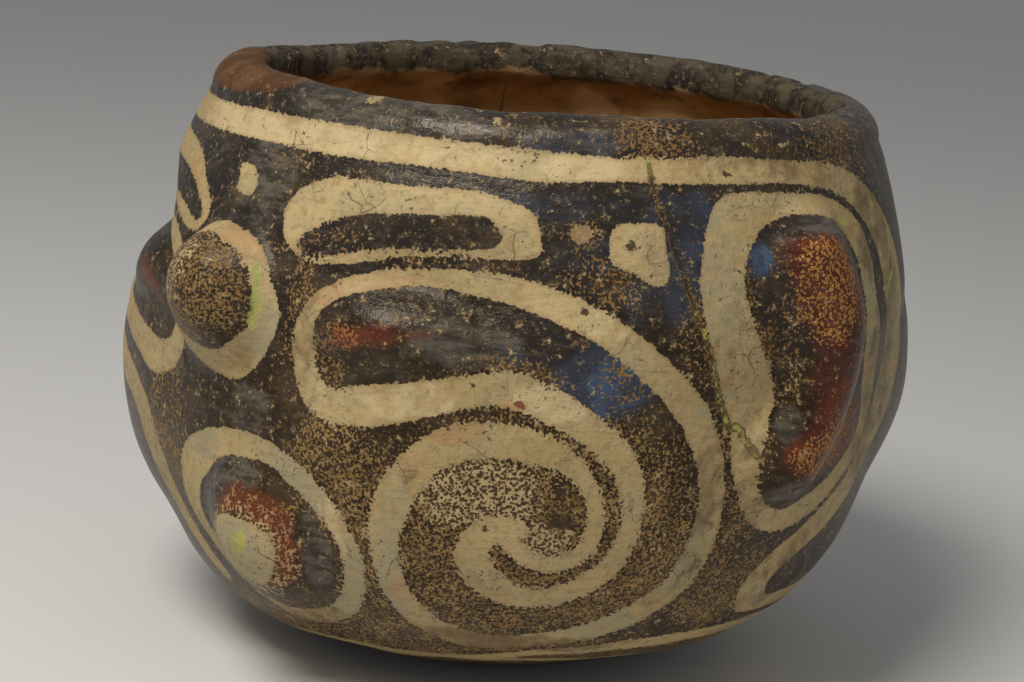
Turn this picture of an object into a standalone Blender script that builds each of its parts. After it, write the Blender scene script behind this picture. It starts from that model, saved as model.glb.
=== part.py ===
"""A hand-built painted jar with modelled bosses, standing on a small flat foot.

The jar stands on z = 0 with its foot centred on the origin. An azimuth is an angle in degrees
round the jar from -Y, its front, growing towards +X, its right.
"""

import math

import bpy
from mathutils import Matrix, Vector
from mathutils.geometry import interpolate_bezier

# Body: the outer side, from the foot to the brim under the rounded lip
HEIGHT = 0.1816
FOOT_RADIUS = 0.0320
BELLY_RADIUS = 0.1198
BELLY_HEIGHT = 0.1000
SHOULDER_RADIUS = 0.1190
SHOULDER_SHARE = 0.40
BRIM_RADIUS = 0.1042
BRIM_STEEPER = 1.43
WALL = 0.0078

# How full the rounded lower part is: how far out and up the foot's edge starts it, and how
# far down the belly stays wide
FOOT_REACH = 0.70
FOOT_LIFT = 0.0076
BELLY_DROP = 0.63

# Lip: rounded outside, and thicker than the wall for a short way down inside the mouth
LIP_ROUND = 0.0105
LIP_BEVEL = 0.0106
LIP_THICKNESS = 0.0168
LIP_INNER_ROUND = 0.0045
LIP_DEPTH = 0.0100
LIP_FADE = 0.0090

# What is uneven in a jar built by hand: how far its mouth leans to the right, and the places
# where its rim dips or rises, each an azimuth and a rise
LEAN = 0.0046
LEAN_START = 0.0690
RIM_WAVES = ((-126.0, -0.0021), (-25.0, -0.0013), (75.0, -0.0008), (165.0, 0.0006))
RIM_WAVE_HALF_ANGLE = 42.0

# Where the whole wall is pushed out or in: azimuth, height, half width, half length and rise
BENDS = {
    "right side": (95.0, 0.0940, 0.0600, 0.0340, 0.0064),
    "left cheek": (-95.0, 0.0780, 0.0750, 0.0520, 0.0055),
    "left temple": (-85.0, 0.1300, 0.0450, 0.0240, -0.0085),
    "right temple": (-8.0, 0.1330, 0.0450, 0.0220, -0.0045),
    "lower left": (-60.0, 0.0180, 0.0550, 0.0340, 0.0030),
    "lower right": (30.0, 0.0080, 0.0700, 0.0330, -0.0025),
}

# The modelled face: its middle line, the upturned knob of its nose and the oval of its mouth
FACE_AZIMUTH = -46.0
NOSE_HEIGHT = 0.1200
NOSE_RADIUS = 0.0240
NOSE_RISE = 0.0150
NOSE_LIFT = 0.0045
MOUTH_OFFSET = 8.5
MOUTH_HEIGHT = 0.0500
MOUTH_HALF_WIDTH = 0.0235
MOUTH_HALF_LENGTH = 0.0290
MOUTH_TURN = 15.0
MOUTH_RISE = 0.0090

# An eye on each side of the nose
EYE_OFFSET = 28.5
EYE_HEIGHT = 0.1212
EYE_HALF_WIDTH = 0.0290
EYE_HALF_LENGTH = 0.0135
EYE_RISE = 0.0060

# An ear on each side of the face: a ridge bent round a point on the wall, open to the face
EAR_OFFSET = 71.0
EAR_HEIGHT = 0.1155
EAR_BEND_RADIUS = 0.0450
EAR_HALF_SPREAD = 39.0
EAR_HALF_WIDTH = 0.0180
EAR_RISE = 0.0100

# How softly a boss meets the wall: 1 is a plain paraboloid, and more fades out more gently
BOSS_SOFTNESS = 1.5

# How finely the jar is divided
SEGMENTS = 90
LOWER_ROWS = 17
UPPER_ROWS = 14
LIP_ROWS = 4
INNER_SHARE = 0.45

# A quarter ellipse drawn as one Bezier span has its handles at this share of its half axes
QUARTER = 0.5523
MERGE_DISTANCE = 0.00001

NODE = "painted_vase"
UP = Vector((0.0, 0.0, 1.0))
CLAY_COLOUR = (0.13, 0.085, 0.055, 1.0)
CLAY_ROUGHNESS = 0.55


def clear_scene():
    """Remove every object that a new scene starts with."""
    for thing in list(bpy.data.objects):
        bpy.data.objects.remove(thing, do_unlink=True)


def span(start, start_handle, end_handle, end, rows):
    """The points of one Bezier span after its first, in the profile's (radius, height) plane."""
    knots = [Vector((radius, height, 0.0)) for radius, height in (start, start_handle, end_handle, end)]
    return [point.xy.to_tuple() for point in interpolate_bezier(*knots, rows + 1)[1:]]


def quarter(start, corner, end, rows):
    """A quarter ellipse from start to end, round the side where corner is."""
    handles = [
        tuple(own + QUARTER * (turn - own) for own, turn in zip(point, corner))
        for point in (start, end)
    ]
    return span(start, handles[0], handles[1], end, rows)


def outer_wall(lower_rows, upper_rows):
    """The outer side from the foot's edge up to the brim."""
    brim_height = HEIGHT - LIP_ROUND
    rise = brim_height - BELLY_HEIGHT
    shoulder_height = BELLY_HEIGHT + SHOULDER_SHARE * rise
    foot = (FOOT_RADIUS, 0.0)
    belly = (BELLY_RADIUS, BELLY_HEIGHT)
    shoulder = (SHOULDER_RADIUS, shoulder_height)
    brim = (BRIM_RADIUS, brim_height)

    # Handles a third of the way along, on the slope that the wall has at each point
    below = (shoulder_height - BELLY_HEIGHT) / 3
    above = (brim_height - shoulder_height) / 3
    slope = (BRIM_RADIUS - BELLY_RADIUS) / rise
    brim_slope = BRIM_STEEPER * (BRIM_RADIUS - SHOULDER_RADIUS) / (brim_height - shoulder_height)
    middle = upper_rows // 2

    points = [foot]
    points += span(
        foot,
        (FOOT_RADIUS + FOOT_REACH * (BELLY_RADIUS - FOOT_RADIUS), FOOT_LIFT),
        (BELLY_RADIUS, BELLY_HEIGHT * (1 - BELLY_DROP)),
        belly,
        lower_rows,
    )
    points += span(
        belly,
        (BELLY_RADIUS, BELLY_HEIGHT + below),
        (SHOULDER_RADIUS - slope * below, shoulder_height - below),
        shoulder,
        middle,
    )
    points += span(
        shoulder,
        (SHOULDER_RADIUS + slope * above, shoulder_height + above),
        (BRIM_RADIUS - brim_slope * above, brim_height - above),
        brim,
        upper_rows - middle,
    )
    return points


def inner_wall(lower_rows, upper_rows):
    """The inner side from the axis up to where the thick lip begins, one wall inside the outer."""
    outer = outer_wall(lower_rows, upper_rows)
    top = HEIGHT - LIP_DEPTH - LIP_FADE
    points = [(0.0, WALL), (FOOT_RADIUS, WALL)]
    for before, here, after in zip(outer, outer[1:], outer[2:]):
        along = (Vector(after) - Vector(before)).normalized()
        inward = Vector((-along.y, along.x))
        point = Vector(here) + WALL * inward
        if point.y < top:
            points.append(point.to_tuple())
    return points


def profile():
    """The closed outline of the turned wall: up the inside, over the lip and down the outside."""
    outer = outer_wall(LOWER_ROWS, UPPER_ROWS)
    inner = inner_wall(round(LOWER_ROWS * INNER_SHARE), round(UPPER_ROWS * INNER_SHARE))
    crest = (BRIM_RADIUS - LIP_BEVEL, HEIGHT)
    mouth_radius = BRIM_RADIUS - LIP_THICKNESS
    mouth = (mouth_radius, HEIGHT - LIP_INNER_ROUND)
    lip_foot = (mouth_radius, HEIGHT - LIP_DEPTH)
    lip = quarter(mouth, (mouth_radius, HEIGHT), crest, LIP_ROWS)
    lip += quarter(crest, (BRIM_RADIUS, HEIGHT), outer[-1], LIP_ROWS)
    return inner + [lip_foot, mouth] + lip + outer[-2::-1] + [(0.0, 0.0)]


def turned_wall():
    """The plain wall, as a profile turned by a Screw modifier and kept as a mesh."""
    points = profile()
    outline = bpy.data.meshes.new("wall_profile")
    outline.from_pydata(
        [(radius, 0.0, height) for radius, height in points],
        [(k, k + 1) for k in range(len(points) - 1)],
        [],
    )
    guide = bpy.data.objects.new("wall_profile", outline)
    bpy.context.scene.collection.objects.link(guide)
    screw = guide.modifiers.new("Turn", "SCREW")
    screw.angle = math.tau
    screw.steps = SEGMENTS
    screw.render_steps = SEGMENTS
    screw.use_merge_vertices = True
    screw.merge_threshold = MERGE_DISTANCE
    turned = guide.evaluated_get(bpy.context.evaluated_depsgraph_get())
    mesh = bpy.data.meshes.new_from_object(turned)
    bpy.data.objects.remove(guide, do_unlink=True)
    return mesh


def place_on_wall(azimuth, height):
    """A frame on the turned wall: X runs round it to the right, Y up it and Z out of it."""
    walls = outer_wall(LOWER_ROWS, UPPER_ROWS)
    low, high = next(
        (pair for pair in zip(walls, walls[1:]) if pair[0][1] <= height <= pair[1][1]),
        (walls[-2], walls[-1]),
    )
    share = (height - low[1]) / (high[1] - low[1])
    radius = low[0] + share * (high[0] - low[0])
    turn = math.radians(azimuth)
    away = Vector((math.sin(turn), -math.cos(turn), 0.0))
    right = Vector((math.cos(turn), math.sin(turn), 0.0))
    up = (away * (high[0] - low[0]) + Vector((0.0, 0.0, high[1] - low[1]))).normalized()
    frame = Matrix((right, up, right.cross(up))).transposed().to_4x4()
    frame.translation = away * radius + Vector((0.0, 0.0, height))
    return frame


def oval(half_width, half_length, turn=0.0):
    """A shape that is 1 in the middle of an oval and falls to 0 at its edge."""
    across, along = math.cos(math.radians(turn)), math.sin(math.radians(turn))

    def height_at(point):
        u = (point.x * across + point.y * along) / half_width
        v = (point.y * across - point.x * along) / half_length
        return max(0.0, 1 - u * u - v * v) ** BOSS_SOFTNESS

    return height_at


def bent_ridge(radius, half_spread, half_width, side):
    """A shape that is 1 along an arc, on the side away from the face, and 0 off the ridge."""
    limit = math.radians(half_spread)

    def height_at(point):
        angle = math.atan2(point.y, side * point.x)
        angle = min(limit, max(-limit, angle))
        nearest = Vector((side * radius * math.cos(angle), radius * math.sin(angle)))
        share = (point.xy - nearest).length / half_width
        return max(0.0, 1 - share * share) ** BOSS_SOFTNESS

    return height_at


def settled(places):
    """The same places, each with its azimuth and height turned into a frame that takes a position to it."""
    return [(place_on_wall(azimuth, height).inverted(), *rest) for azimuth, height, *rest in places]


def bosses():
    """The clay added outside: for each boss its azimuth, height, shape, rise and upward tilt."""
    nose = oval(NOSE_RADIUS, NOSE_RADIUS)
    mouth = oval(MOUTH_HALF_WIDTH, MOUTH_HALF_LENGTH, MOUTH_TURN)
    eye = oval(EYE_HALF_WIDTH, EYE_HALF_LENGTH)
    places = [
        (FACE_AZIMUTH, NOSE_HEIGHT, nose, NOSE_RISE, NOSE_LIFT),
        (FACE_AZIMUTH + MOUTH_OFFSET, MOUTH_HEIGHT, mouth, MOUTH_RISE, 0.0),
    ]
    for side in (1, -1):
        ear = bent_ridge(EAR_BEND_RADIUS, EAR_HALF_SPREAD, EAR_HALF_WIDTH, side)
        places.append((FACE_AZIMUTH + side * EYE_OFFSET, EYE_HEIGHT, eye, EYE_RISE, 0.0))
        places.append((FACE_AZIMUTH + side * EAR_OFFSET, EAR_HEIGHT, ear, EAR_RISE, 0.0))
    return settled(places)


def bends():
    """Where the whole wall is pushed out or in, in the same form as the bosses."""
    return settled(
        (azimuth, height, oval(half_width, half_length), rise, 0.0)
        for azimuth, height, half_width, half_length, rise in BENDS.values()
    )


def push(places, position, outward):
    """How far all the places given move the wall at a position, along its outward direction."""
    total = Vector()
    for to_place, shape, rise, lift in places:
        local = to_place @ position
        if local.z > -BELLY_RADIUS / 2:
            total += (outward * rise + UP * lift) * shape(local)
    return total


def rim_wave(azimuth):
    """How far the rim rises at an azimuth in degrees."""
    total = 0.0
    for centre, rise in RIM_WAVES:
        off = (azimuth - centre + 180.0) % 360.0 - 180.0
        if abs(off) < RIM_WAVE_HALF_ANGLE:
            total += rise * (1 + math.cos(math.pi * off / RIM_WAVE_HALF_ANGLE)) / 2
    return total


def smooth_step(share):
    """Rise smoothly from 0 to 1 as the share goes from 0 to 1."""
    share = min(1.0, max(0.0, share))
    return share * share * (3 - 2 * share)


def model(mesh):
    """Add the bosses outside, bend the wall above the flat foot, then lean the mouth and wave the rim."""
    added, bent = bosses(), bends()
    brim_height = HEIGHT - LIP_ROUND
    normals = [vertex.normal.copy() for vertex in mesh.vertices]
    for vertex, normal in zip(mesh.vertices, normals):
        position = vertex.co.copy()
        is_outer = normal.xy.dot(position.xy) > 0
        outward = normal if is_outer else -normal
        move = push(bent, position, outward) * smooth_step(position.z / FOOT_LIFT)
        if is_outer and position.z < brim_height:
            move += push(added, position, outward)

        azimuth = math.degrees(math.atan2(position.x, -position.y))
        to_rim = smooth_step((position.z - BELLY_HEIGHT) / (HEIGHT - BELLY_HEIGHT))
        to_mouth = smooth_step((position.z - LEAN_START) / (HEIGHT - LEAN_START))
        position += move
        position.x += LEAN * to_mouth
        position.z += rim_wave(azimuth) * to_rim
        vertex.co = position
    mesh.update()


def clay():
    """Fired clay under a dark burnished slip."""
    material = bpy.data.materials.new("painted_clay")
    material.use_nodes = True
    shader = material.node_tree.nodes["Principled BSDF"]
    shader.inputs["Base Color"].default_value = CLAY_COLOUR
    shader.inputs["Roughness"].default_value = CLAY_ROUGHNESS
    shader.inputs["Metallic"].default_value = 0.0
    return material


def build():
    """Model the jar, as one object in a collection named for it."""
    clear_scene()
    collection = bpy.data.collections.new(NODE)
    bpy.context.scene.collection.children.link(collection)
    mesh = turned_wall()
    model(mesh)
    mesh.name = NODE
    mesh.materials.clear()
    mesh.materials.append(clay())
    mesh.shade_smooth()
    collection.objects.link(bpy.data.objects.new(NODE, mesh))


build()
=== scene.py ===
# %% [markdown]
# # A painted effigy jar
# This lesson dresses one hand-built clay jar. The plain shape comes from a packed CAD model, and
# this script gives it a finer skin and its painted finish: cream bands brushed round a knob nose,
# bulging eyes and ridge ears, on a dark burnished ground that has flaked into thousands of specks.
# The first step loads the CAD model; the finer skin has to fit inside its box.

import math

import bmesh
import bpy
import numpy as np
from mathutils import Matrix, Vector, noise
from mathutils.geometry import interpolate_bezier


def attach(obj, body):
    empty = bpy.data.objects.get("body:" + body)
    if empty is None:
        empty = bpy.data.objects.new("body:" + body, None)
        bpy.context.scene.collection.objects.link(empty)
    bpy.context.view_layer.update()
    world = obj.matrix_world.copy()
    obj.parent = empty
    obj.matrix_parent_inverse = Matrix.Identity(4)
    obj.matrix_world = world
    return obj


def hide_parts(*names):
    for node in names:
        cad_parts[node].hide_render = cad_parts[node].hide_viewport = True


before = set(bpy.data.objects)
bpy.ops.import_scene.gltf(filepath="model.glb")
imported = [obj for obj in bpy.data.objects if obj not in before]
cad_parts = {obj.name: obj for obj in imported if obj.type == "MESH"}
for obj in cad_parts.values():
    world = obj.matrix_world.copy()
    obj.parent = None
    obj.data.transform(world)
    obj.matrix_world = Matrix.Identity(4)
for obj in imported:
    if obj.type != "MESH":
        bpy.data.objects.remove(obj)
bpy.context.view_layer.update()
print("nodes in the frame:", len(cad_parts))

# %% [markdown]
# ## Camera
# The photograph looks a little down on the jar through a long lens, and the jar leans in the
# picture because the camera was rolled. A camera can be placed by its three axes: forward, right
# and up. They are worked out from the elevation and the roll, and then become the columns of its
# matrix. The plain "look at" of a constraint has no roll, so the matrix is the simpler way here.

# %% Camera
LENS = 85.0
ELEVATION = math.radians(12.5)
ROLL = math.radians(4.7)
DISTANCE = 0.776
LOOK_AT = Vector((0.0, 0.0, 0.0949))


def add_camera():
    """A camera in front of the jar, rolled a little clockwise."""
    forward = Vector((0.0, math.cos(ELEVATION), -math.sin(ELEVATION)))
    level = Vector((1.0, 0.0, 0.0))
    right = level * math.cos(ROLL) + level.cross(forward) * math.sin(ROLL)
    up = right.cross(forward)
    camera = bpy.data.objects.new("camera", bpy.data.cameras.new("camera"))
    camera.data.lens = LENS
    camera.data.sensor_width = 36.0
    camera.matrix_world = Matrix.Translation(LOOK_AT - DISTANCE * forward) @ Matrix(
        (right, up, -forward)
    ).transposed().to_4x4()
    bpy.context.scene.collection.objects.link(camera)
    bpy.context.scene.camera = camera
    return camera


camera = add_camera()
print("camera at", [round(value, 3) for value in camera.matrix_world.translation])

# %% [markdown]
# ## The turned wall
# The real jar was coiled and pinched by hand, not thrown, but its plain wall is close to a turned
# form. So its section is drawn once, as a few Bezier spans, and spun round the axis. A span is
# cheap to describe: two ends and two handles. The rows are fine here, about a millimetre and a
# half apart, because the brush strokes will be stored on the skin's own points.

# %% The section of the wall
HEIGHT = 0.1816
FOOT_RADIUS = 0.0320
BELLY_RADIUS = 0.1198
BELLY_HEIGHT = 0.1000
SHOULDER_RADIUS = 0.1190
SHOULDER_SHARE = 0.40
BRIM_RADIUS = 0.1042
BRIM_STEEPER = 1.43
WALL = 0.0078
FOOT_REACH = 0.70
FOOT_LIFT = 0.0076
BELLY_DROP = 0.63
LIP_ROUND = 0.0105
LIP_BEVEL = 0.0106
LIP_THICKNESS = 0.0168
LIP_INNER_ROUND = 0.0045
LIP_DEPTH = 0.0100
LIP_FADE = 0.0090
QUARTER = 0.5523
BRIM_HEIGHT = HEIGHT - LIP_ROUND


def span(start, start_handle, end_handle, end, rows):
    """The points of one Bezier span after its first, as radius and height."""
    places = (start, start_handle, end_handle, end)
    knots = [Vector((radius, height, 0.0)) for radius, height in places]
    return [point.xy.to_tuple() for point in interpolate_bezier(*knots, rows + 1)[1:]]


def quarter(start, corner, end, rows):
    """A quarter ellipse from start to end, round the side where corner is."""
    handles = [
        tuple(own + QUARTER * (turn - own) for own, turn in zip(point, corner))
        for point in (start, end)
    ]
    return span(start, handles[0], handles[1], end, rows)


def outer_wall(lower_rows, upper_rows):
    """The outer side from the foot's edge up to the brim."""
    rise = BRIM_HEIGHT - BELLY_HEIGHT
    shoulder_height = BELLY_HEIGHT + SHOULDER_SHARE * rise
    foot, belly = (FOOT_RADIUS, 0.0), (BELLY_RADIUS, BELLY_HEIGHT)
    shoulder, brim = (SHOULDER_RADIUS, shoulder_height), (BRIM_RADIUS, BRIM_HEIGHT)
    below = (shoulder_height - BELLY_HEIGHT) / 3
    above = (BRIM_HEIGHT - shoulder_height) / 3
    slope = (BRIM_RADIUS - BELLY_RADIUS) / rise
    brim_slope = BRIM_STEEPER * (BRIM_RADIUS - SHOULDER_RADIUS) / (BRIM_HEIGHT - shoulder_height)
    middle = upper_rows // 2
    return (
        [foot]
        + span(
            foot,
            (FOOT_RADIUS + FOOT_REACH * (BELLY_RADIUS - FOOT_RADIUS), FOOT_LIFT),
            (BELLY_RADIUS, BELLY_HEIGHT * (1 - BELLY_DROP)),
            belly,
            lower_rows,
        )
        + span(
            belly,
            (BELLY_RADIUS, BELLY_HEIGHT + below),
            (SHOULDER_RADIUS - slope * below, shoulder_height - below),
            shoulder,
            middle,
        )
        + span(
            shoulder,
            (SHOULDER_RADIUS + slope * above, shoulder_height + above),
            (BRIM_RADIUS - brim_slope * above, BRIM_HEIGHT - above),
            brim,
            upper_rows - middle,
        )
    )


LOWER_ROWS, UPPER_ROWS = 90, 48
outline = outer_wall(LOWER_ROWS, UPPER_ROWS)
print("outer outline:", len(outline), "points")


# %% The inner side and the lip
INNER_LOWER_ROWS, INNER_UPPER_ROWS = 16, 14
UNDER_LIP_ROWS, INNER_LIP_ROWS, OUTER_LIP_ROWS = 4, 7, 8
FOOT_RINGS = 4


def inner_wall(lower_rows, upper_rows):
    """The inner side from the axis up to where the thick lip begins, one wall inside the outer."""
    outer = outer_wall(lower_rows, upper_rows)
    points = [(0.0, WALL), (FOOT_RADIUS / 2, WALL), (FOOT_RADIUS, WALL)]
    for before, here, after in zip(outer, outer[1:], outer[2:]):
        along = (Vector(after) - Vector(before)).normalized()
        point = Vector(here) + WALL * Vector((-along.y, along.x))
        if point.y < HEIGHT - LIP_DEPTH - LIP_FADE:
            points.append(point.to_tuple())
    return points


def whole_section():
    """The whole section: up the inside, over the lip and down the outside."""
    crest = (BRIM_RADIUS - LIP_BEVEL, HEIGHT)
    mouth_radius = BRIM_RADIUS - LIP_THICKNESS
    mouth = (mouth_radius, HEIGHT - LIP_INNER_ROUND)
    inner = inner_wall(INNER_LOWER_ROWS, INNER_UPPER_ROWS)
    deep, shallow = inner[-2:]
    lip_foot = (mouth_radius, HEIGHT - LIP_DEPTH)
    fall = [2 * last - first for first, last in zip(deep, shallow)]
    climb = (mouth_radius, lip_foot[1] - LIP_FADE / 3)
    under_lip = span(shallow, fall, climb, lip_foot, UNDER_LIP_ROWS)
    lip = quarter(mouth, (mouth_radius, HEIGHT), crest, INNER_LIP_ROWS)
    lip += quarter(crest, (BRIM_RADIUS, HEIGHT), outline[-1], OUTER_LIP_ROWS)
    foot = [(FOOT_RADIUS * ring / FOOT_RINGS, 0.0) for ring in range(FOOT_RINGS - 1, -1, -1)]
    return inner + under_lip + [mouth] + lip + outline[-2::-1] + foot


section = whole_section()
print("whole section:", len(section), "points")

# %% [markdown]
# `bmesh.ops.spin` copies the section round the axis. A full turn needs `use_merge`, which welds
# the last copy to the first, and the two ends on the axis are welded into closed poles
# afterwards. The faces of a spun skin may point either way, so the normals are recalculated.

# %% Spin the section
SEGMENTS = 480
WELD_REACH = 0.00001


def spun_jar():
    """The plain wall, closed and with its faces outward."""
    made = bmesh.new()
    verts = [made.verts.new((radius, 0.0, height)) for radius, height in section]
    edges = [made.edges.new(pair) for pair in zip(verts, verts[1:])]
    bmesh.ops.spin(
        made, geom=verts + edges, cent=(0, 0, 0), axis=(0, 0, 1), angle=math.tau,
        steps=SEGMENTS, use_merge=True,
    )
    bmesh.ops.remove_doubles(made, verts=made.verts, dist=WELD_REACH)
    bmesh.ops.recalc_face_normals(made, faces=made.faces)
    mesh = bpy.data.meshes.new("painted_jar")
    made.to_mesh(mesh)
    made.free()
    return mesh


skin = spun_jar()
print("spun skin:", len(skin.vertices), "points,", len(skin.polygons), "faces")

# %% [markdown]
# ## Places on the wall
# Every boss and every brush stroke has a place on the wall: an azimuth, in degrees from the
# front, and a height. Both are taken from the plain turned wall before it is modelled, so a stroke
# climbs over a boss just as wet slip was brushed over it. For true distances the height is
# turned into a length along the wall, and an azimuth into millimetres round it. The paint lies on
# the outside only. A point belongs to it where its normal points away from the axis or, on the
# foot and the floor, where a radius says little, downwards.

# %% Places on the wall
count = len(skin.vertices)
plain = np.empty(count * 3)
skin.vertices.foreach_get("co", plain)
plain = plain.reshape(-1, 3)
facing = np.empty(count * 3)
skin.vertices.foreach_get("normal", facing)
facing = facing.reshape(-1, 3)
FLOOR_ZONE = 0.020
faces_away = (facing[:, :2] * plain[:, :2]).sum(1) > 0
is_outer = np.where(plain[:, 2] < FLOOR_ZONE, facing[:, 2] < 0, faces_away)
outward = np.where(is_outer[:, None], facing, -facing)
azimuth = np.degrees(np.arctan2(plain[:, 0], -plain[:, 1]))

wall_radii, wall_heights = np.array(outline).T * 1000
wall_lengths = np.concatenate(
    ([0.0], np.cumsum(np.hypot(np.diff(wall_radii), np.diff(wall_heights))))
)
height_mm = plain[:, 2] * 1000
per_degree = np.radians(np.interp(height_mm, wall_heights, wall_radii))


def length_at(height):
    """The length up the wall at a height, in mm. Over the brim it goes on straight up."""
    above = np.maximum(0.0, height - wall_heights[-1])
    return np.interp(height, wall_heights, wall_lengths) + above


up_the_wall = length_at(height_mm)
print("length up the wall:", round(float(wall_lengths[-1]), 1), "mm")

# %% [markdown]
# ## Modelling the face
# The jar is an abstract head. Its nose is an upturned knob, its eyes and mouth are low ovals, and
# each ear is a bent ridge. On the real jar these were pellets and coils of clay, smoothed into the
# wall. Each one here is a soft hill: a number that is one in the middle and falls gently to zero,
# times how far it stands out. These hills are only on the outside and below the brim, so the
# inner wall has none of them.

# %% Axes on the wall
FACE_AZIMUTH = -46.0
NOSE_HEIGHT = 0.1200


def axes_on_wall(place_azimuth, height):
    """Axes at a place on the plain wall: X round it to the right, Y up it and Z out of it."""
    step = 0.5
    radius, lower, upper = (
        float(np.interp(1000 * height + shift, wall_heights, wall_radii)) / 1000
        for shift in (0.0, -step, step)
    )
    turn = math.radians(place_azimuth)
    away = Vector((math.sin(turn), -math.cos(turn), 0.0))
    right = Vector((math.cos(turn), math.sin(turn), 0.0))
    up = (away * (upper - lower) * 1000 + Vector((0.0, 0.0, 2 * step))).normalized()
    axes = Matrix((right, up, right.cross(up))).transposed().to_4x4()
    axes.translation = away * radius + Vector((0.0, 0.0, height))
    return axes


def seen_from(place_azimuth, height):
    """Every point of the skin, measured in the axes at a place on the wall."""
    inverse = np.array(axes_on_wall(place_azimuth, height).inverted())
    local = plain @ inverse[:3, :3].T + inverse[:3, 3]
    return local, local[:, 2] > -BELLY_RADIUS / 2


nose_place = axes_on_wall(FACE_AZIMUTH, NOSE_HEIGHT).translation
print("the nose sits at", [round(value, 3) for value in nose_place])

# %% Soft hills
BOSS_SOFTNESS = 1.5


def soft_hill(squared):
    """One in the middle, where the squared share is 0, and nothing where it is 1 or more."""
    return np.maximum(0.0, 1 - squared) ** BOSS_SOFTNESS


def oval_hill(place_azimuth, height, half_width, half_length, turn=0.0):
    """A soft oval hill at a place on the wall."""
    local, near = seen_from(place_azimuth, height)
    across, along = math.cos(math.radians(turn)), math.sin(math.radians(turn))
    u = (local[:, 0] * across + local[:, 1] * along) / half_width
    v = (local[:, 1] * across - local[:, 0] * along) / half_length
    return soft_hill(u * u + v * v) * near


def bent_ridge(place_azimuth, height, radius, half_spread, half_width, side):
    """A soft ridge along an arc, on the side away from the face."""
    local, near = seen_from(place_azimuth, height)
    limit = math.radians(half_spread)
    angle = np.clip(np.arctan2(local[:, 1], side * local[:, 0]), -limit, limit)
    off = np.hypot(
        local[:, 0] - side * radius * np.cos(angle), local[:, 1] - radius * np.sin(angle)
    )
    return soft_hill((off / half_width) ** 2) * near


def smooth_step(share):
    """Rise smoothly from 0 to 1 as the share goes from 0 to 1."""
    share = np.clip(share, 0.0, 1.0)
    return share * share * (3 - 2 * share)


print("halfway out, a hill has", round(float(soft_hill(0.25)), 2), "of its height")

# %% Nose, mouth, eyes and ears
NOSE_RADIUS = 0.0240
NOSE_RISE = 0.0150
NOSE_LIFT = 0.0045
MOUTH_OFFSET = 8.5
MOUTH_HEIGHT = 0.0500
MOUTH_HALF_WIDTH = 0.0235
MOUTH_HALF_LENGTH = 0.0290
MOUTH_TURN = 15.0
MOUTH_RISE = 0.0090
EYE_OFFSET = 28.5
EYE_HEIGHT = 0.1212
EYE_HALF_WIDTH = 0.0290
EYE_HALF_LENGTH = 0.0135
EYE_RISE = 0.0060
EAR_OFFSET = 71.0
EAR_HEIGHT = 0.1155
EAR_BEND_RADIUS = 0.0450
EAR_HALF_SPREAD = 39.0
EAR_HALF_WIDTH = 0.0180
EAR_RISE = 0.0100

nose = oval_hill(FACE_AZIMUTH, NOSE_HEIGHT, NOSE_RADIUS, NOSE_RADIUS)
mouth = oval_hill(
    FACE_AZIMUTH + MOUTH_OFFSET, MOUTH_HEIGHT, MOUTH_HALF_WIDTH, MOUTH_HALF_LENGTH, MOUTH_TURN
)
added = outward * (NOSE_RISE * nose + MOUTH_RISE * mouth)[:, None]
added[:, 2] += NOSE_LIFT * nose
for side in (1, -1):
    eye = oval_hill(FACE_AZIMUTH + side * EYE_OFFSET, EYE_HEIGHT, EYE_HALF_WIDTH, EYE_HALF_LENGTH)
    ear = bent_ridge(
        FACE_AZIMUTH + side * EAR_OFFSET, EAR_HEIGHT, EAR_BEND_RADIUS, EAR_HALF_SPREAD,
        EAR_HALF_WIDTH, side,
    )
    added += outward * (EYE_RISE * eye + EAR_RISE * ear)[:, None]
added[~is_outer | (plain[:, 2] >= BRIM_HEIGHT)] = 0.0
print("most added by a boss:", round(1000 * float(np.abs(added).max()), 1), "mm")

# %% [markdown]
# The wall's bends are wider and lower hills of the same kind, and hollows where the rise is
# negative. Each has an azimuth, a height, half a width, half a length and a rise, and moves both
# sides of the wall. They fade out towards the foot, which stays flat.

# %% Bends of the wall
BENDS = {
    "right side": (95.0, 0.0940, 0.0600, 0.0340, 0.0064),
    "left cheek": (-95.0, 0.0780, 0.0750, 0.0520, 0.0055),
    "left temple": (-85.0, 0.1300, 0.0450, 0.0240, -0.0085),
    "right temple": (-8.0, 0.1330, 0.0450, 0.0220, -0.0045),
    "lower left": (-60.0, 0.0180, 0.0550, 0.0340, 0.0030),
    "lower right": (30.0, 0.0080, 0.0700, 0.0330, -0.0025),
}
bent = sum(rise * oval_hill(*place) for *place, rise in BENDS.values())
bent = outward * (bent * smooth_step(plain[:, 2] / FOOT_LIFT))[:, None]
print("most moved by a bend:", round(1000 * float(np.abs(bent).max()), 1), "mm")

# %% [markdown]
# The rim of a coiled jar is never level, and its mouth sits a little off the middle. Both are
# waves that fade in with height, so the foot still stands flat. A very low ripple, always
# inward, gives the skin the soft dents that a burnishing stone leaves. The crest of the lip is
# chipped besides, more at the back than in front.

# %% Ripple and chips
RIPPLE = 0.0007
BROAD_DENTS, SMALL_DENTS, LIP_DENTS = 34.0, 95.0, 140.0
BROAD_SHARE, SMALL_SHARE, LIP_SHARE = 0.75, 0.30, 0.55
SMALL_DENTS_SHIFT = Vector((7.0, 3.0, 1.0))
DENTED_LIP = 0.006
CHIP = 0.0011
CHIP_DENTS = 90.0
FRONT_CHIPS = 0.25


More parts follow.
